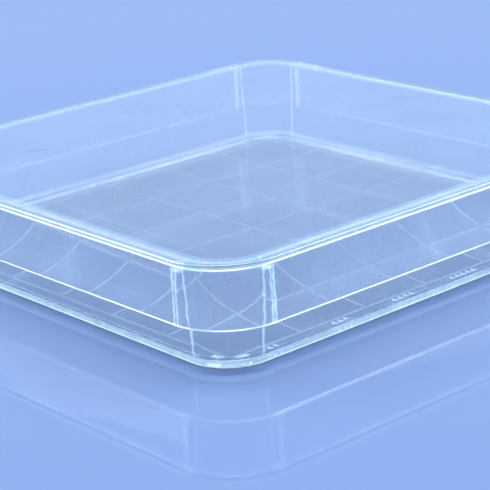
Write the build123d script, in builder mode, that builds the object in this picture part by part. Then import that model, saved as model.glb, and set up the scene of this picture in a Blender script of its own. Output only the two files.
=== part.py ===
"""A square petri dish with its lid on: a drafted dish with a ruled floor, under a lid with a deep skirt.

Millimetres, +Z up. The origin is the centre of the footprint, on the surface that the dish stands on.
"""

import math
import os

from build123d import *

# Lid
lid_side = 100.0  # across the flats, at the top face
lid_corner = 10.5  # outer corner radius at the top face
lid_plate = 1.0
lid_wall = 1.2
skirt_height = 10.3  # from the top face down to the skirt's rim
lid_draft = 1.0  # degrees; the skirt widens downwards
lid_top_round = 0.45
lid_inner_round = 0.4
skirt_rim_round = 0.25

# Dish
dish_height = 16.5  # from the foot to the rim that the lid's plate rests on
dish_wall = 1.2
dish_floor = 1.2
dish_draft = 3.0  # degrees; the wall widens upwards
foot_round = 1.0
floor_round = 1.0
rim_round = 0.3

# Fit of the lid round the dish's rim, on each side
lid_clearance = 0.5

# Underside: a shallow recess inside a narrow foot keeps the raised lines off the bench
foot_width = 1.0
recess_depth = 0.3
line_height = 0.2
line_width = 0.35

# Grid of squares on the underside, and the marks in the margin beside it
grid_count = 6
grid_margin = 2.65  # from the recess's edge to the grid's border
mark_width = 0.3
mark_length = 1.5
mark_gap = 1.3  # between the middles of neighbouring strokes
mark_margin = 0.6  # clear space between the grid's border and a mark
corner_bar = 2.0  # length of the paired bars that point out the grid's first corner
corner_bar_gap = 0.7
corner_bar_inset = 1.6  # from the grid's corner back to the middle of the bars

# Worked out from the sizes above
rim_side = lid_side - 2 * (lid_wall + lid_clearance)
rim_corner = lid_corner - lid_wall - lid_clearance
dish_spread = dish_height * math.tan(math.radians(dish_draft))
foot_side = rim_side - 2 * dish_spread
foot_corner = rim_corner - dish_spread
floor_spread = dish_floor * math.tan(math.radians(dish_draft))
well_side = foot_side + 2 * (floor_spread - dish_wall)
well_corner = foot_corner + floor_spread - dish_wall
recess_side = foot_side - 2 * (foot_round + foot_width)
recess_corner = foot_corner - foot_round - foot_width
grid_side = recess_side - 2 * grid_margin
grid_pitch = (grid_side - line_width) / grid_count
skirt_spread = skirt_height * math.tan(math.radians(lid_draft))
skirt_side = lid_side + 2 * skirt_spread
skirt_corner = lid_corner + skirt_spread
total_height = dish_height + lid_plate
skirt_bottom = total_height - skirt_height

os.makedirs("parts", exist_ok=True)


# Dish: outside, then the well inside it
with BuildPart() as dish_base:
    with BuildSketch():
        RectangleRounded(foot_side, foot_side, foot_corner)
    extrude(amount=dish_height, taper=-dish_draft)
    foot_edges = dish_base.edges().group_by(Axis.Z)[0]
    fillet(foot_edges, foot_round)

    with BuildSketch(Plane.XY.offset(dish_floor)):
        RectangleRounded(well_side, well_side, well_corner)
    extrude(amount=dish_height - dish_floor, taper=-dish_draft, mode=Mode.SUBTRACT)
    well_floor = dish_base.faces().filter_by(Plane.XY).sort_by(SortBy.AREA)[-2:].sort_by(Axis.Z)[-1]
    fillet(well_floor.edges(), floor_round)
    rim_edges = dish_base.edges().group_by(Axis.Z)[-1]
    fillet(rim_edges, rim_round)

    # Recess in the underside, with the ruled squares standing proud in it
    with BuildSketch():
        RectangleRounded(recess_side, recess_side, recess_corner)
    extrude(amount=recess_depth, mode=Mode.SUBTRACT)
    with BuildSketch(Plane.XY.offset(recess_depth)):
        with GridLocations(grid_pitch, 0, grid_count + 1, 1):
            Rectangle(line_width, grid_side)
        with GridLocations(0, grid_pitch, 1, grid_count + 1):
            Rectangle(grid_side, line_width)
    extrude(amount=-line_height)

    # Tally strokes beside each row: two on the first row, one more on each row after it
    mark_x = grid_side / 2 + mark_margin + mark_length / 2
    with BuildSketch(Plane.XY.offset(recess_depth)):
        for row in range(grid_count):
            row_y = (row - (grid_count - 1) / 2) * grid_pitch
            with Locations((mark_x, row_y)):
                with GridLocations(0, mark_gap, 1, row + 2):
                    Rectangle(mark_length, mark_width)
    extrude(amount=-line_height)

    # A pair of bars with a cross stroke on each side of the grid's first corner
    bars_along = grid_side / 2 - corner_bar_inset
    bars_out = grid_side / 2 + mark_margin + corner_bar_gap / 2
    with BuildSketch(Plane.XY.offset(recess_depth)):
        for place, turn in (((bars_along, -bars_out), 0), ((bars_out, -bars_along), -90)):
            with Locations(Location(place, turn)):
                with GridLocations(0, corner_bar_gap, 1, 2):
                    Rectangle(corner_bar, mark_width)
                with Locations((-corner_bar / 2, 0)):
                    Rectangle(mark_width, corner_bar_gap + mark_width)
    extrude(amount=-line_height)
dish_base.part.label = "dish_base"
export_step(dish_base.part, "parts/dish_base.step")


# Lid: a flat plate with a skirt that hangs down over the dish's wall
with BuildPart() as lid:
    with BuildSketch(Plane.XY.offset(skirt_bottom)):
        RectangleRounded(skirt_side, skirt_side, skirt_corner)
    extrude(amount=skirt_height, taper=lid_draft)
    fillet(lid.edges().group_by(Axis.Z)[-1], lid_top_round)

    with BuildSketch(Plane.XY.offset(skirt_bottom)):
        RectangleRounded(skirt_side - 2 * lid_wall, skirt_side - 2 * lid_wall, skirt_corner - lid_wall)
    extrude(amount=skirt_height - lid_plate, taper=lid_draft, mode=Mode.SUBTRACT)
    plate_underside = lid.faces().filter_by(Plane.XY).sort_by(Axis.Z)[-2]
    fillet(plate_underside.edges(), lid_inner_round)
    fillet(lid.edges().group_by(Axis.Z)[0], skirt_rim_round)
lid.part.label = "lid"
export_step(lid.part, "parts/lid.step")
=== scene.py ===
"""A square petri dish in clear plastic: a ruled dish under a deep lid, on a plain pale floor."""

import math

import bmesh
import bpy
from bpy.props import FloatProperty, FloatVectorProperty, IntProperty, PointerProperty
from mathutils import Euler, Matrix, Vector


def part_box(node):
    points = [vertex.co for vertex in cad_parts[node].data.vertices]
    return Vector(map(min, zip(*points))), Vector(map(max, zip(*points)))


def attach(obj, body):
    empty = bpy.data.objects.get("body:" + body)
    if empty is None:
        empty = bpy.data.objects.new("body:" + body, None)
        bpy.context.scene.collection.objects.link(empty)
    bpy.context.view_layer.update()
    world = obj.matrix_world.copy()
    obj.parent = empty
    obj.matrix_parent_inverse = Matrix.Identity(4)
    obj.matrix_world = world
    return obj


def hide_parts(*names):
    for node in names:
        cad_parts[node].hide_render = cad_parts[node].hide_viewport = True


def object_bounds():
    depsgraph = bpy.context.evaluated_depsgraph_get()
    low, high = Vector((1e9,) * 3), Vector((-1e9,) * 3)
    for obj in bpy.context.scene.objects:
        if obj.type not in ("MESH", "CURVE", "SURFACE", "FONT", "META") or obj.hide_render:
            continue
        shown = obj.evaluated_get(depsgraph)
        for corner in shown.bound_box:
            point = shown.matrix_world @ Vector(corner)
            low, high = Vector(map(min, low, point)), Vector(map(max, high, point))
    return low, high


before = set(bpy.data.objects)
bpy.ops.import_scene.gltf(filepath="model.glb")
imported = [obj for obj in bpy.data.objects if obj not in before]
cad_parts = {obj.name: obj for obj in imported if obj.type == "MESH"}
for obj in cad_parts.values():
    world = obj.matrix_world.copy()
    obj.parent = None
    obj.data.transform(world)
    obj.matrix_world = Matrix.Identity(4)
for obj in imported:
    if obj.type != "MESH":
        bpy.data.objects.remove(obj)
CAD_LOW, CAD_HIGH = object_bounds()

bl_info = {
    "name": "Square Petri Dish",
    "version": (1, 0, 0),
    "blender": (4, 5, 0),
    "location": "3D View > Sidebar > Petri Dish",
    "description": "Builds a square petri dish with a ruled floor, its lid, and a plain studio stage",
    "category": "Object",
}

MM = 0.001

# Modelling
CORNER_SEGMENTS = 24
ROUND_SEGMENTS = 4
START_SLAB = 0.1 * MM       # height of the slab that a piece grows from
HOLD = 0.08 * MM            # width of the short step that keeps the shading of a flat level
LINE_CHAMFER = 0.06 * MM    # along the edges of a raised line
CREASE = math.radians(35)   # a bend sharper than this isn't smoothed
SAME_PLACE = 1e-6           # metres
WELD = 1e-7                 # metres
BOX_TOLERANCE = 0.02 * MM

# Painted glow, given as emission: light painted into the edges and lines, with painted highlights in
# the scratches and a faint painted glow over the whole body. 1 is the full edge strength
LID_BORDER = 0.22
LID_LINE = 0.35
LID_PLATE = 0.85
LID_UPRIGHT = 0.9
DISH_FLOOR = 0.75
DISH_RIM = 0.4
DISH_UPRIGHT = 0.8
GRID_LIGHT = 0.1
MARK_LIGHT = 0.75           # on the marks, over and above the grid's
SCRATCH_LIGHT = 0.12
# A faint painted glow over the whole body, a little more in the haze
HAZE_LIGHT = 0.016
BODY_LIGHT = 0.016

# The painted bright upright lines and glints where the corners start, in millimetres
UPRIGHT_WIDTH = 0.35
GLINT_WIDTH = 1.6
GLINT_HEIGHT = 0.4
WANDER = 1.1                # the width that a line wavers within

# The plastic's finish, and the flicker of its painted glow
REFRACTION = 1.59
HAIRLINES = ((0.35, 1.0), (1.25, 0.8), (2.4, 1.2))   # each set's turn in radians, and its fineness
HAIRLINE_WIDTH = 0.006      # as a part of the noise's range
SPARKLE = 0.25              # how much of the painted glow in the edges comes and goes
HAZE_TURN = 0.87            # radians
HAZE_ROUGHNESS = 0.01
RIM_MATT = 0.7
RIPPLE_HEIGHT = 0.02
SCRATCH_HEIGHT = 0.01
BUMP_STRENGTH = 0.3
BUMP_DISTANCE = 0.0006      # metres

# Grain of the noise behind each pattern: its cells to the millimetre, along x, y and z
HAIRLINE_GRAIN = (0.02, 1.6, 1.0)
HAIRLINE_PATCHES = (0.06, 0.06, 0.06)
SCRATCH_GRAIN = (4.0, 4.0, 0.14)
SCRATCH_PATCHES = 0.07
HAZE_GRAIN = (0.02, 0.07, 0.07)
SPARKLE_GRAIN = 0.35
WANDER_GRAIN = (1.0, 1.0, 0.6)
RIPPLE_GRAIN = 0.03

# The stage. Angles are in degrees and lengths in metres.
AIM = Vector((2.7, -4.4, 0.0)) * MM
SENSOR = 36.0               # millimetres
NEAREST = 0.01
FLOOR_SIZE = 4.0
FLOOR_GAP = 0.02 * MM
FLOOR_ROUGHNESS = 0.05
SKY_TOP = 0.7               # sine of the elevation where the sky's colour is reached
CLEAR_BOUNCES = 24
GLOSSY_BOUNCES = 8
SOFTBOX_DISTANCE = 0.9
SOFTBOXES = (
    # name, azimuth, elevation, width and height, watts
    ("overhead", 230, 86, (0.55, 0.55), 2.6),
    ("left", 283, 40, (0.5, 0.3), 1.6),
    ("right", 165, 46, (0.5, 0.3), 1.6),
)

DISH_LOW, DISH_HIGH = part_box("dish_base")
LID_LOW, LID_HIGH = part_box("lid")


# Sizes and looks that a user would change


def length(name, description, default):
    return FloatProperty(name=name, description=description, default=default, min=0.0,
                         unit="LENGTH", subtype="DISTANCE", precision=5)


def angle(name, description, degrees):
    return FloatProperty(name=name, description=description, default=math.radians(degrees),
                         unit="ROTATION", subtype="ANGLE")


def colour(name, description, default):
    return FloatVectorProperty(name=name, description=description, default=default,
                               min=0.0, max=1.0, subtype="COLOR")


def amount(name, description, default, high=10.0):
    return FloatProperty(name=name, description=description, default=default, min=0.0, max=high)


class LidSizes(bpy.types.PropertyGroup):
    """Sizes of the lid."""

    corner: length("Corner", "Outer corner radius at the top face, seen from above", 10.5 * MM)
    wall: length("Wall", "Thickness of the skirt", 1.2 * MM)
    plate: length("Plate", "Thickness of the top plate", 1.0 * MM)
    draft: angle("Draft", "How far the skirt leans outwards on its way down", 1.0)
    top_round: length("Top round", "Radius along the edge of the top face", 0.45 * MM)
    rim_round: length("Rim round", "Radius along both edges of the skirt's rim", 0.25 * MM)
    inner_round: length("Inner round", "Fillet between the plate and the skirt", 0.4 * MM)


class DishSizes(bpy.types.PropertyGroup):
    """Sizes of the dish."""

    corner: length("Corner", "Outer corner radius at the rim, seen from above", 8.8 * MM)
    wall: length("Wall", "Thickness of the wall", 1.2 * MM)
    floor: length("Floor", "Height of the inside of the floor above the foot", 1.2 * MM)
    draft: angle("Draft", "How far the wall leans outwards on its way up", 3.0)
    rim_round: length("Rim round", "Radius along both edges of the rim", 0.3 * MM)
    floor_round: length("Floor round", "Fillet between the wall and the floor, inside", 1.0 * MM)
    foot_round: length("Foot round", "Radius along the outer edge of the foot", 1.0 * MM)
    foot_width: length("Foot width", "Width of the flat foot round the underside", 1.0 * MM)
    recess: length("Recess", "Height of the underside above the foot", 0.3 * MM)
    squares: IntProperty(name="Squares", description="Squares along each side of the grid",
                         default=6, min=1)
    grid_margin: length("Grid margin", "From the recess's edge to the grid's border", 2.65 * MM)
    line_width: length("Line width", "Width of a raised line", 0.35 * MM)
    line_height: length("Line height", "How far a raised line stands out of the underside", 0.2 * MM)
    mark_length: length("Mark length", "Length of a stroke beside the grid", 1.5 * MM)
    mark_width: length("Mark width", "Width of a stroke beside the grid", 0.3 * MM)
    mark_gap: length("Mark gap", "Between the middles of neighbouring strokes", 1.3 * MM)
    mark_margin: length("Mark margin", "From the grid's border to a stroke", 0.6 * MM)
    bar: length("Corner bar", "Length of the paired bars at the grid's first corner", 2.0 * MM)
    bar_gap: length("Corner bar gap", "Between the middles of the paired bars", 0.7 * MM)
    bar_inset: length("Corner bar inset", "From the grid's corner to the bars' middles", 1.6 * MM)


class PlasticLook(bpy.types.PropertyGroup):
    """Look of the clear plastic."""

    tint: colour("Tint", "Colour given to what is seen through the plastic", (0.985, 0.993, 1.0))
    # The edge light is a painted glow, given as emission.
    edge_light: colour("Edge light", "Colour of the light in the edges", (0.47, 0.71, 1.0))
    edge_strength: amount("Edge strength", "Brightness of the light in the edges", 0.85)
    roughness: amount("Roughness", "Roughness of a clean face", 0.02, 1.0)
    scratch_roughness: amount("Scratch roughness", "Roughness inside a scratch", 0.35, 1.0)


class StageLook(bpy.types.PropertyGroup):
    """Floor, lights and camera."""

    floor: colour("Floor", "Colour of the floor", (0.32, 0.44, 0.70))
    horizon: colour("Horizon", "Colour of the studio near the floor", (0.42, 0.58, 0.93))
    sky: colour("Sky", "Colour of the studio overhead", (0.36, 0.49, 0.78))
    azimuth: angle("Azimuth", "Camera's direction round the dish, from the front", 49.65)
    elevation: angle("Elevation", "Camera's height above the horizon", 18.46)
    roll: angle("Roll", "Camera's turn about its own line of sight", -3.42)
    distance: length("Distance", "From the camera to the point it aims at", 0.3268)
    lens: FloatProperty(name="Lens", description="Focal length in millimetres on a 36 mm sensor",
                        default=134.1, min=1.0)


# Selecting and moving between modes


def deselect_all():
    """Leaves edit mode, with nothing selected."""
    if bpy.context.object is not None and bpy.context.object.mode != "OBJECT":
        bpy.ops.object.mode_set(mode="OBJECT")
    bpy.ops.object.select_all(action="DESELECT")


def edit(piece):
    """Goes into edit mode on one piece, with nothing selected."""
    deselect_all()
    piece.select_set(True)
    bpy.context.view_layer.objects.active = piece
    bpy.ops.object.mode_set(mode="EDIT")
    bpy.ops.mesh.select_all(action="DESELECT")


def select_edges(piece, test):
    """Selects the edges whose two end points pass the test."""
    bpy.ops.mesh.select_mode(type="EDGE")
    mesh = bmesh.from_edit_mesh(piece.data)
    for edge in mesh.edges:
        edge.select_set(test(*(corner.co for corner in edge.verts)))
    mesh.select_flush_mode()
    bmesh.update_edit_mesh(piece.data)


def select_faces(piece, test):
    """Selects the faces that pass the test."""
    bpy.ops.mesh.select_mode(type="FACE")
    mesh = bmesh.from_edit_mesh(piece.data)
    chosen = [face for face in mesh.faces if test(face)]
    if not chosen:
        raise RuntimeError(f"{piece.name}: there is no face to work on")
    for face in mesh.faces:
        face.select_set(False)
    for face in chosen:
        face.select_set(True)
    mesh.select_flush_mode()
    bmesh.update_edit_mesh(piece.data)


# Shaping a moulding out of a rounded slab


def rounded_slab(name, half, corner, low, high):
    """A thin square slab with round corners. The moulding grows out of its two cap faces."""
    deselect_all()
    bpy.ops.mesh.primitive_cube_add(size=1, location=(0, 0, (low + high) / 2),
                                    scale=(2 * half, 2 * half, high - low))
    piece = bpy.context.object
    piece.name = piece.data.name = name
    bpy.ops.object.transform_apply(location=True, rotation=True, scale=True)
    edit(piece)
    select_edges(piece, lambda a, b: abs(a.z - b.z) > (high - low) / 2)
    bpy.ops.mesh.bevel(offset=corner, offset_type="OFFSET", segments=CORNER_SEGMENTS, profile=0.5,
                       affect="EDGES")
    return piece


def quarter_turn():
    """The start and end angle of each segment of a rounding."""
    turns = [math.pi / 2 * k / ROUND_SEGMENTS for k in range(ROUND_SEGMENTS + 1)]
    return zip(turns, turns[1:])


def arc(inward, along):
    """Steps of a rounding that starts along the wall and ends level with the cap."""
    return [(inward * (math.cos(a) - math.cos(b)), along * (math.sin(b) - math.sin(a)))
            for a, b in quarter_turn()]


def crest(inward, along):
    """Steps of a rounding that starts level with the cap and ends along a wall that goes back in."""
    return [(inward * (math.sin(b) - math.sin(a)), along * (math.cos(b) - math.cos(a)))
            for a, b in quarter_turn()]


def land(width):
    """Steps across a flat, with a short step at each end that keeps its shading level."""
    hold = min(HOLD, width / 4)
    return [(hold, 0.0), (width - 2 * hold, 0.0), (hold, 0.0)]


def step_in(piece, upwards, steps):
    """Steps one cap face in: how far in from its outline, and how far out along its normal."""
    mesh = bmesh.from_edit_mesh(piece.data)
    way = 1 if upwards else -1
    level = max(way * corner.co.z for corner in mesh.verts)
    select_faces(piece, lambda face: way * face.normal.z > 0.5
                 and abs(way * face.calc_center_median().z - level) < SAME_PLACE)
    for inward, along in steps:
        bpy.ops.mesh.inset(thickness=inward, depth=along, use_boundary=True, use_even_offset=True)


def raise_patches(piece, level, patches, height):
    """Cuts rectangles into the underside at one level, and draws them down with chamfered edges."""

    def on_panel(face):
        return abs(face.normal.z) > 0.99 and abs(face.calc_center_median().z - level) < SAME_PLACE

    def meets(face, low, high):
        xs = [corner.co.x for corner in face.verts]
        ys = [corner.co.y for corner in face.verts]
        return (min(xs) < high[0] - SAME_PLACE and max(xs) > low[0] + SAME_PLACE
                and min(ys) < high[1] - SAME_PLACE and max(ys) > low[1] + SAME_PLACE)

    for low, high in patches:
        for axis in (0, 1):
            for side in (low[axis], high[axis]):
                select_faces(piece, lambda face: on_panel(face) and meets(face, low, high))
                point = (side, 0.0, level) if axis == 0 else (0.0, side, level)
                normal = (1.0, 0.0, 0.0) if axis == 0 else (0.0, 1.0, 0.0)
                bpy.ops.mesh.bisect(plane_co=point, plane_no=normal)

    def on_patch(face):
        middle = face.calc_center_median()
        return on_panel(face) and any(low[0] < middle.x < high[0] and low[1] < middle.y < high[1]
                                      for low, high in patches)

    select_faces(piece, on_patch)
    down = (0, 0, LINE_CHAMFER - height)
    bpy.ops.mesh.extrude_region_move(TRANSFORM_OT_translate={"value": down})
    bpy.ops.mesh.inset(thickness=LINE_CHAMFER, depth=LINE_CHAMFER, use_boundary=True,
                       use_even_offset=True)


def finish_piece(piece, node, body, material):
    """Welds a piece, checks its size, shades it, gives it its plastic and hands it to the frame."""
    bpy.ops.mesh.select_all(action="SELECT")
    bpy.ops.mesh.remove_doubles(threshold=WELD)
    bpy.ops.mesh.select_all(action="DESELECT")
    bpy.ops.object.mode_set(mode="OBJECT")
    places = [corner.co for corner in piece.data.vertices]
    for axis in range(3):
        low, high = (edge[axis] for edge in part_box(node))
        across = [place[axis] for place in places]
        if max(abs(min(across) - low), abs(max(across) - high)) > BOX_TOLERANCE:
            raise RuntimeError(f"{piece.name} doesn't fill the box of {node}")
    bpy.ops.object.shade_smooth_by_angle(angle=CREASE)
    piece.data.materials.clear()
    piece.data.materials.append(material)
    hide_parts(node)
    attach(piece, body)


# Shader maths


class Field:
    """A value that changes over a surface. Arithmetic on it adds the nodes."""

    def __init__(self, shader, socket):
        self.shader = shader
        self.socket = socket

    def maths(self, operation, *values):
        return self.shader.node("ShaderNodeMath", {"operation": operation}, values)

    def __add__(self, other):
        return self.maths("ADD", self, other)

    def __sub__(self, other):
        return self.maths("SUBTRACT", self, other)

    def __rsub__(self, other):
        return self.maths("SUBTRACT", other, self)

    def __mul__(self, other):
        return self.maths("MULTIPLY", self, other)

    def __abs__(self):
        return self.maths("ABSOLUTE", self)

    __radd__ = __add__
    __rmul__ = __mul__

    def at_least(self, other):
        return self.maths("MAXIMUM", self, other)

    def at_most(self, other):
        return self.maths("MINIMUM", self, other)

    def root(self):
        return self.maths("SQRT", self)

    def ramp(self, low, high):
        """0 at low and 1 at high, smooth between them."""
        return self.shader.node("ShaderNodeMapRange", {"interpolation_type": "SMOOTHSTEP"},
                                {"Value": self, "From Min": low, "From Max": high})

    def bump(self, middle, width):
        """1 at the middle, falling smoothly to 0 a width away on both sides."""
        return abs(self - middle).ramp(width, 0.0)


class Shader:
    """A material under construction."""

    def __init__(self, name):
        self.material = bpy.data.materials.new(name)
        self.material.use_nodes = True
        self.start(self.material.node_tree, "Principled BSDF")

    def start(self, tree, surface):
        self.tree = tree
        self.surface = tree.nodes[surface]

    def plug(self, socket, value):
        if isinstance(value, Field):
            self.tree.links.new(value.socket, socket)
        else:
            socket.default_value = value

    def node(self, kind, settings, values, output=0):
        """Any node: its settings, and then the values or links of its sockets, by name or order."""
        made = self.tree.nodes.new(kind)
        for name, value in settings.items():
            setattr(made, name, value)
        pairs = values.items() if isinstance(values, dict) else enumerate(values)
        for name, value in pairs:
            self.plug(made.inputs[name], value)
        return Field(self, made.outputs[output])

    def position(self):
        """Where on the piece, in millimetres, as a vector and as its three parts."""
        place = self.node("ShaderNodeTexCoord", {}, {}, "Object")
        place = self.node("ShaderNodeVectorMath", {"operation": "SCALE"}, {0: place, "Scale": 1 / MM})
        parts = [self.node("ShaderNodeSeparateXYZ", {}, [place], axis) for axis in "XYZ"]
        return place, *parts

    def stretched(self, place, scale, turn=0.0):
        """The place turned about the upright and then scaled, so that a pattern runs long one way."""
        turned = self.node("ShaderNodeMapping", {"vector_type": "TEXTURE"},
                           {"Vector": place, "Rotation": (0.0, 0.0, turn)})
        return self.node("ShaderNodeMapping", {"vector_type": "POINT"},
                         {"Vector": turned, "Scale": scale})

    def noise(self, place, scale=1.0, detail=2.0, roughness=0.5):
        values = {"Vector": place, "Scale": scale, "Detail": detail, "Roughness": roughness}
        return self.node("ShaderNodeTexNoise", {}, values, "Fac")

    def mix_colour(self, factor, low, high):
        """Two colours mixed. They go into the Mix node's sockets 6 and 7, and come out of 2."""
        values = {"Factor": factor, 6: low, 7: high}
        return self.node("ShaderNodeMix", {"data_type": "RGBA"}, values, 2)

    def set(self, name, value):
        self.plug(self.surface.inputs[name], value)


class Sky(Shader):
    """The world's light under construction."""

    def __init__(self, world):
        self.start(world.node_tree, "Background")


def in_from_outline(x, y, half, corner):
    """How far in from a rounded square's outline, as far as the corner radius."""
    over_x = (abs(x) - (half - corner)).at_least(0.0)
    over_y = (abs(y) - (half - corner)).at_least(0.0)
    return corner - (over_x * over_x + over_y * over_y).root()


def corner_starts(x, y, straight, width):
    """Upright lines on the walls, where they turn into the corners: the mask for the painted
    highlights there.
    """
    x, y = abs(x), abs(y)
    near, far = straight + 2.0, straight + 4.0
    on_sides = x.bump(straight, width) * y.ramp(near, far)
    return on_sides.at_least(y.bump(straight, width) * x.ramp(near, far))


def hairlines(shader, place, turn, fineness):
    """Long thin scratches that run one way, in a few patches."""
    along, across, up = HAIRLINE_GRAIN
    lines = shader.noise(shader.stretched(place, (along, across * fineness, up), turn), detail=1.0)
    patches = shader.noise(shader.stretched(place, HAIRLINE_PATCHES, 3 * turn), detail=2.0)
    return lines.bump(0.5, HAIRLINE_WIDTH) * patches.ramp(0.55, 0.65)


def upright_scratches(shader, place):
    """Short fine scratches that run up and down, in a few patches."""
    streaks = shader.noise(shader.stretched(place, SCRATCH_GRAIN), detail=2.0, roughness=0.6)
    patches = shader.noise(place, scale=SCRATCH_PATCHES, detail=1.0)
    return streaks.ramp(0.68, 0.78) * patches.ramp(0.48, 0.62)


def clear_plastic(name, look, edges):
    """Crystal-clear moulded plastic, with glow painted into it. edges says where the glow is painted
    and where the plastic is matt.
    """
    shader = Shader(name)
    place, x, y, z = shader.position()
    # The scratches roughen and dent the surface, and also carry a painted highlight.
    scuff_and_glint = upright_scratches(shader, place)
    for turn, fineness in HAIRLINES:
        scuff_and_glint = scuff_and_glint.at_least(hairlines(shader, place, turn, fineness))
    # A soft hazy pattern: it roughens the surface a little and adds a faint painted glow, so the
    # plastic looks lighter than what is behind it.
    haze_and_glow = shader.noise(shader.stretched(place, HAZE_GRAIN, HAZE_TURN), detail=3.0).ramp(0.3, 0.7)
    sparkle = shader.noise(place, scale=SPARKLE_GRAIN, detail=3.0).ramp(0.3, 0.7)
    stray = shader.noise(shader.stretched(place, WANDER_GRAIN), detail=3.0, roughness=0.7)
    light, matt = edges(x, y, z, WANDER * (stray - 0.5))
    # The painted glow flickers along the edges, like sparkling highlights.
    light = light * (1 - SPARKLE + SPARKLE * sparkle)
    ripple = shader.noise(place, scale=RIPPLE_GRAIN, detail=1.0)

    white, black = (1.0, 1.0, 1.0, 1.0), (0.0, 0.0, 0.0, 1.0)
    dull = look.scratch_roughness * scuff_and_glint.at_least(matt)
    # Painted glow: the light painted into the edges, a painted highlight in the scratches, and a
    # faint painted glow over the body and its haze.
    glow = light + SCRATCH_LIGHT * scuff_and_glint + BODY_LIGHT + HAZE_LIGHT * haze_and_glow
    relief = {"Strength": BUMP_STRENGTH, "Distance": BUMP_DISTANCE,
              "Height": ripple * RIPPLE_HEIGHT + scuff_and_glint * SCRATCH_HEIGHT}
    # Painted highlight: the base colour turns white where glow is painted into the edges.
    shader.set("Base Color", shader.mix_colour(light.at_most(1.0), (*look.tint, 1.0), white))
    shader.set("Roughness", look.roughness + HAZE_ROUGHNESS * haze_and_glow + dull)
    shader.set("Transmission Weight", 1.0)
    shader.set("IOR", REFRACTION)
    # The painted glow goes out as emission, in the colour of the edge light.
    shader.set("Emission Color", shader.mix_colour(glow.at_most(1.0), black, (*look.edge_light, 1.0)))
    shader.set("Emission Strength", look.edge_strength)
    shader.set("Normal", shader.node("ShaderNodeBump", {}, relief))
    return shader.material


def lid_edges(sizes):
    """Where glow is painted into the lid, as painted highlights along its top, plate and corners. The
    skirt's rim is a little matt. Lengths in millimetres.
    """
    half = LID_HIGH.x / MM
    corner = (sizes.corner + (LID_HIGH.z - LID_LOW.z) * math.tan(sizes.draft)) / MM
    straight = half - corner
    top, rim = LID_HIGH.z / MM, LID_LOW.z / MM
    wall = sizes.wall / MM

    def edges(x, y, z, wander):
        inward = in_from_outline(x, y, half, corner)
        skirt = inward.ramp(wall + 0.3, wall + 0.1)
        # Painted highlights: a border round the top, a line along the top round, a band in the plate,
        # and upright lines and glints where the corners start
        light = LID_BORDER * z.ramp(top - 0.1, top - 0.02) * inward.ramp(3.7, 3.2)
        line = LID_LINE * z.ramp(top - 0.5, top - 0.25) * inward.ramp(0.75, 0.5)
        plate = LID_PLATE * z.ramp(top - 0.9, top - 0.8) * z.ramp(top - 0.1, top - 0.4)
        plate = plate * inward.ramp(0.6, 0.4)
        upright = LID_UPRIGHT * corner_starts(x, y, straight + wander, UPRIGHT_WIDTH)
        upright = upright * z.ramp(top - 0.9, top - 1.1) * skirt
        glint = corner_starts(x, y, straight + 0.8, GLINT_WIDTH)
        glint = glint * z.bump(top - 1.35, GLINT_HEIGHT) * skirt
        for part in (line, plate, upright, glint):
            light = light.at_least(part)
        return light, RIM_MATT * z.ramp(rim + 0.35, rim + 0.2)

    return edges


def dish_edges(sizes):
    """Where glow is painted into the dish, as painted highlights along its foot, rim, corners and
    raised lines. Its raised lines are matt. Lengths in millimetres.
    """
    half, corner = DISH_HIGH.x / MM, sizes.corner / MM
    straight = half - corner
    top = DISH_HIGH.z / MM
    floor, wall, recess = sizes.floor / MM, sizes.wall / MM, sizes.recess / MM
    lean = math.tan(sizes.draft)
    grid = half - lean * top - (sizes.foot_round + sizes.foot_width + sizes.grid_margin) / MM

    def edges(x, y, z, wander):
        inward = in_from_outline(x, y, half, corner) - lean * (top - z)
        inside = inward.ramp(wall - 0.4, wall - 0.2)
        # Painted highlights: a band low down round the floor, a band along the rim, upright lines
        # where the corners start inside, and a glow on the raised lines, brightest on the marks
        light = DISH_FLOOR * z.ramp(floor + 0.65, floor + 0.4) * z.ramp(0.45, 0.75)
        light = light * inward.ramp(0.5, 0.3)
        along_rim = DISH_RIM * z.ramp(top - 0.5, top - 0.1)
        upright = DISH_UPRIGHT * corner_starts(x, y, straight + wander, UPRIGHT_WIDTH)
        upright = upright * z.ramp(floor, floor + 1.0) * inside
        raised = z.ramp(recess - 0.02, recess - 0.06) * inward.ramp(wall + 1.2, wall + 1.6)
        margin = abs(x).at_least(abs(y)).ramp(grid + 0.2, grid + 0.4)
        ruling_glow = raised * (GRID_LIGHT + MARK_LIGHT * margin)
        for part in (along_rim, upright, ruling_glow):
            light = light.at_least(part)
        return light, raised

    return edges


# Operators, one for each piece and one for the stage


class PETRI_OT_lid(bpy.types.Operator):
    """Model the lid: a flat plate with a deep skirt"""

    bl_idname = "petri.lid"
    bl_label = "Lid"

    def execute(self, context):
        sizes = context.scene.petri_lid
        height = LID_HIGH.z - LID_LOW.z
        lean = math.tan(sizes.draft)
        outside = height - sizes.top_round - sizes.rim_round
        inside = height - sizes.plate - sizes.inner_round - sizes.rim_round
        wall = outside - START_SLAB
        low = LID_LOW.z + sizes.rim_round
        corner = sizes.corner + lean * height
        piece = rounded_slab("lid_shell", LID_HIGH.x, corner, low, low + START_SLAB)
        step_in(piece, True, [
            (lean * wall, wall),
            *arc(sizes.top_round, sizes.top_round),
            (HOLD, 0.0),
        ])
        step_in(piece, False, [
            *arc(sizes.rim_round, sizes.rim_round),
            *land(sizes.wall - 2 * sizes.rim_round),
            *crest(sizes.rim_round, sizes.rim_round),
            (lean * inside, -inside),
            *arc(sizes.inner_round, -sizes.inner_round),
            (HOLD, 0.0),
        ])
        material = clear_plastic("lid_plastic", context.scene.petri_plastic, lid_edges(sizes))
        finish_piece(piece, "lid", "lid", material)
        return {"FINISHED"}


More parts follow.
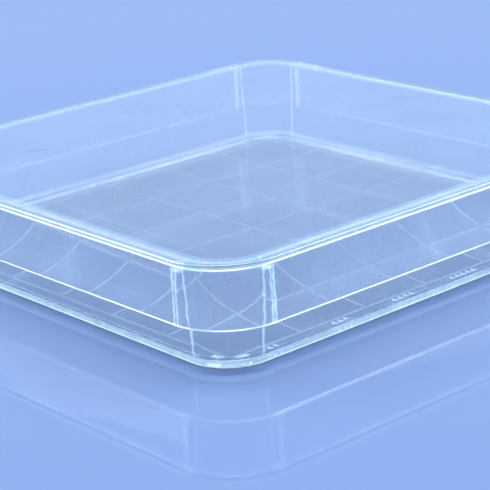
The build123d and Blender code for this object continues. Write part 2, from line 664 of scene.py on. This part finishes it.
class PETRI_OT_dish(bpy.types.Operator):
    """Model the dish: drafted walls, a narrow foot, and a ruled floor"""

    bl_idname = "petri.dish"
    bl_label = "Dish"

    def execute(self, context):
        sizes = context.scene.petri_dish
        height = DISH_HIGH.z - DISH_LOW.z
        lean = math.tan(sizes.draft)
        inside = height - sizes.floor - sizes.floor_round - sizes.rim_round
        outside = height - sizes.foot_round - sizes.rim_round
        wall = outside - START_SLAB
        high = DISH_HIGH.z - sizes.rim_round
        piece = rounded_slab("dish_shell", DISH_HIGH.x, sizes.corner, high - START_SLAB, high)
        step_in(piece, False, [
            (lean * wall, wall),
            *arc(sizes.foot_round, sizes.foot_round),
            *land(sizes.foot_width),
            (HOLD, -sizes.recess),
            (HOLD, 0.0),
        ])
        step_in(piece, True, [
            *arc(sizes.rim_round, sizes.rim_round),
            *land(sizes.wall - 2 * sizes.rim_round),
            *crest(sizes.rim_round, sizes.rim_round),
            (lean * inside, -inside),
            *arc(sizes.floor_round, -sizes.floor_round),
            (HOLD, 0.0),
        ])
        foot = DISH_HIGH.x - lean * height
        reach = foot - sizes.foot_round - sizes.foot_width - sizes.grid_margin
        patches = grid_lines(sizes, reach) + row_marks(sizes, reach) + corner_marks(sizes, reach)
        raise_patches(piece, DISH_LOW.z + sizes.recess, patches, sizes.line_height)
        material = clear_plastic("dish_plastic", context.scene.petri_plastic, dish_edges(sizes))
        finish_piece(piece, "dish_base", "dish", material)
        return {"FINISHED"}


def patch(x, y, across, along):
    """The lowest and highest corner of a rectangle about a middle."""
    return (x - across / 2, y - along / 2), (x + across / 2, y + along / 2)


def grid_pitch(sizes, reach):
    """From line to line, where reach is from the middle to the grid's outer edge."""
    return (2 * reach - sizes.line_width) / sizes.squares


def grid_lines(sizes, reach):
    """The lines of the grid, one way and then the other."""
    pitch = grid_pitch(sizes, reach)
    places = [(k - sizes.squares / 2) * pitch for k in range(sizes.squares + 1)]
    return ([patch(x, 0.0, sizes.line_width, 2 * reach) for x in places]
            + [patch(0.0, y, 2 * reach, sizes.line_width) for y in places])


def row_marks(sizes, reach):
    """Tally strokes beside each row: two on the first row, one more on each row after it."""
    pitch = grid_pitch(sizes, reach)
    x = reach + sizes.mark_margin + sizes.mark_length / 2
    marks = []
    for row in range(sizes.squares):
        y = (row - (sizes.squares - 1) / 2) * pitch
        strokes = row + 2
        for k in range(strokes):
            middle = y + (k - (strokes - 1) / 2) * sizes.mark_gap
            marks.append(patch(x, middle, sizes.mark_length, sizes.mark_width))
    return marks


def corner_marks(sizes, reach):
    """A pair of bars with a cross stroke on each side of the grid's first corner."""
    along = reach - sizes.bar_inset
    out = reach + sizes.mark_margin + sizes.bar_gap / 2
    cross = sizes.bar_gap + sizes.mark_width
    marks = []
    for side in (-0.5, 0.5):
        offset = out + side * sizes.bar_gap
        marks += [patch(along, -offset, sizes.bar, sizes.mark_width),
                  patch(offset, -along, sizes.mark_width, sizes.bar)]
    back = along - sizes.bar / 2
    return marks + [patch(back, -out, sizes.mark_width, cross),
                    patch(out, -back, cross, sizes.mark_width)]


class PETRI_OT_stage(bpy.types.Operator):
    """Set out the floor, the lights and the camera"""

    bl_idname = "petri.stage"
    bl_label = "Stage"

    def execute(self, context):
        look = context.scene.petri_stage
        add_camera(context, look)
        add_floor(look)
        add_world(context.scene, look)
        for softbox in SOFTBOXES:
            add_softbox(context, (CAD_LOW + CAD_HIGH) / 2, *softbox)
        return {"FINISHED"}


def direction(azimuth, elevation):
    """The way from the object to a camera or light at that azimuth and elevation."""
    level = math.cos(elevation)
    return Vector((math.sin(azimuth) * level, -math.cos(azimuth) * level, math.sin(elevation)))


def add_camera(context, look):
    """A camera on a long lens, aimed close to the middle of the dish."""
    data = bpy.data.cameras.new("camera")
    data.lens = look.lens
    data.sensor_width = SENSOR
    data.clip_start = NEAREST
    camera = bpy.data.objects.new("camera", data)
    context.scene.collection.objects.link(camera)
    turn = Euler((math.pi / 2 - look.elevation, 0.0, look.azimuth)).to_matrix()
    turn = turn @ Matrix.Rotation(look.roll, 3, "Z")
    place = AIM + direction(look.azimuth, look.elevation) * look.distance
    camera.matrix_world = Matrix.Translation(place) @ turn.to_4x4()
    context.scene.camera = camera


def add_floor(look):
    """A plain floor with a soft gloss, just under the dish."""
    deselect_all()
    bpy.ops.mesh.primitive_plane_add(size=FLOOR_SIZE, location=(0, 0, CAD_LOW.z - FLOOR_GAP))
    floor = bpy.context.object
    floor.name = "floor"
    shader = Shader("floor_sheet")
    shader.set("Base Color", (*look.floor, 1.0))
    shader.set("Roughness", FLOOR_ROUGHNESS)
    floor.data.materials.append(shader.material)


def add_world(scene, look):
    """Soft light from all round, a little brighter towards the horizon."""
    world = bpy.data.worlds.new("studio")
    world.use_nodes = True
    scene.world = world
    sky = Sky(world)
    way = sky.node("ShaderNodeTexCoord", {}, {}, "Generated")
    up = sky.node("ShaderNodeSeparateXYZ", {}, [way], "Z")
    sky.set("Color", sky.mix_colour(up.ramp(0.0, SKY_TOP), (*look.horizon, 1.0), (*look.sky, 1.0)))
    sky.set("Strength", 1.0)
    scene.view_settings.view_transform = "Standard"
    scene.cycles.max_bounces = CLEAR_BOUNCES
    scene.cycles.transmission_bounces = CLEAR_BOUNCES
    scene.cycles.glossy_bounces = GLOSSY_BOUNCES


def add_softbox(context, aim, name, azimuth, elevation, size, watts):
    """A wide soft light, turned towards the point it is aimed at."""
    data = bpy.data.lights.new(name, "AREA")
    data.shape = "RECTANGLE"
    data.size, data.size_y = size
    data.energy = watts
    light = bpy.data.objects.new(name, data)
    context.scene.collection.objects.link(light)
    away = direction(math.radians(azimuth), math.radians(elevation))
    light.location = aim + away * SOFTBOX_DISTANCE
    light.rotation_euler = away.to_track_quat("Z", "Y").to_euler()


class PETRI_PT_panel(bpy.types.Panel):
    """Petri dish builder"""

    bl_idname = "PETRI_PT_panel"
    bl_label = "Square Petri Dish"
    bl_space_type = "VIEW_3D"
    bl_region_type = "UI"
    bl_category = "Petri Dish"

    def draw(self, context):
        for operator in OPERATORS:
            self.layout.operator(operator.bl_idname)


OPERATORS = (PETRI_OT_stage, PETRI_OT_dish, PETRI_OT_lid)
GROUPS = {
    "petri_lid": LidSizes,
    "petri_dish": DishSizes,
    "petri_plastic": PlasticLook,
    "petri_stage": StageLook,
}
CLASSES = (*GROUPS.values(), *OPERATORS, PETRI_PT_panel)


def register():
    for cls in CLASSES:
        bpy.utils.register_class(cls)
    for name, group in GROUPS.items():
        setattr(bpy.types.Scene, name, PointerProperty(type=group))


def unregister():
    for name in GROUPS:
        delattr(bpy.types.Scene, name)
    for cls in reversed(CLASSES):
        bpy.utils.unregister_class(cls)


def main():
    register()
    bpy.ops.petri.stage()
    bpy.ops.petri.dish()
    bpy.ops.petri.lid()


if __name__ == "__main__":
    main()
